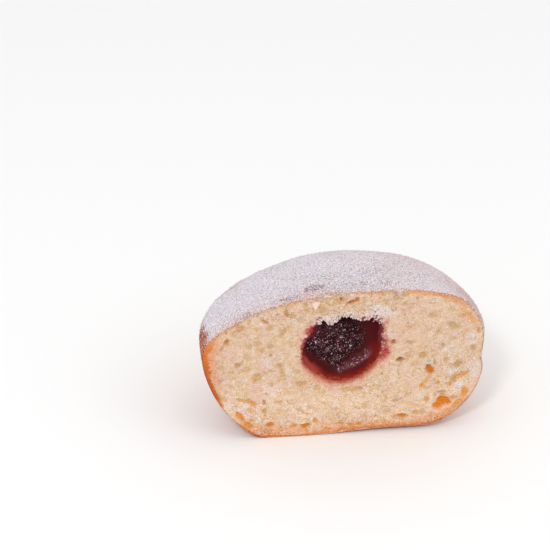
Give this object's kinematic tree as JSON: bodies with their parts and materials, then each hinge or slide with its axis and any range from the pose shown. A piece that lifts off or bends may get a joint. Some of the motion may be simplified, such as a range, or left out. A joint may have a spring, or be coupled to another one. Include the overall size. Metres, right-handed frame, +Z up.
{
  "type": "jelly filled doughnut, cut half",
  "caption": "Half of a round yeast doughnut, cut to show soft crumb and a pocket of dark red jelly, dusted with powdered sugar, standing on its flat base.",
  "frame": {"origin": "on the flat base, under the middle of the piece's bounding box", "axes": "+Z up; the knife cut faces -Y; +X to the right of someone who looks at the cut"},
  "size_m": [0.0852, 0.0468, 0.049],
  "materials": {
    "dough": "soft beige crumb with fine pores",
    "crust": "thin fried skin, golden brown with a pale belt round the middle",
    "powdered_sugar": "fine dry powder, matt and slightly cool white",
    "jelly": "wet, glossy, nearly black red"
  },
  "bodies": {
    "root": {"dough": "dough", "jelly": "jelly"}
  },
  "joints": []
}
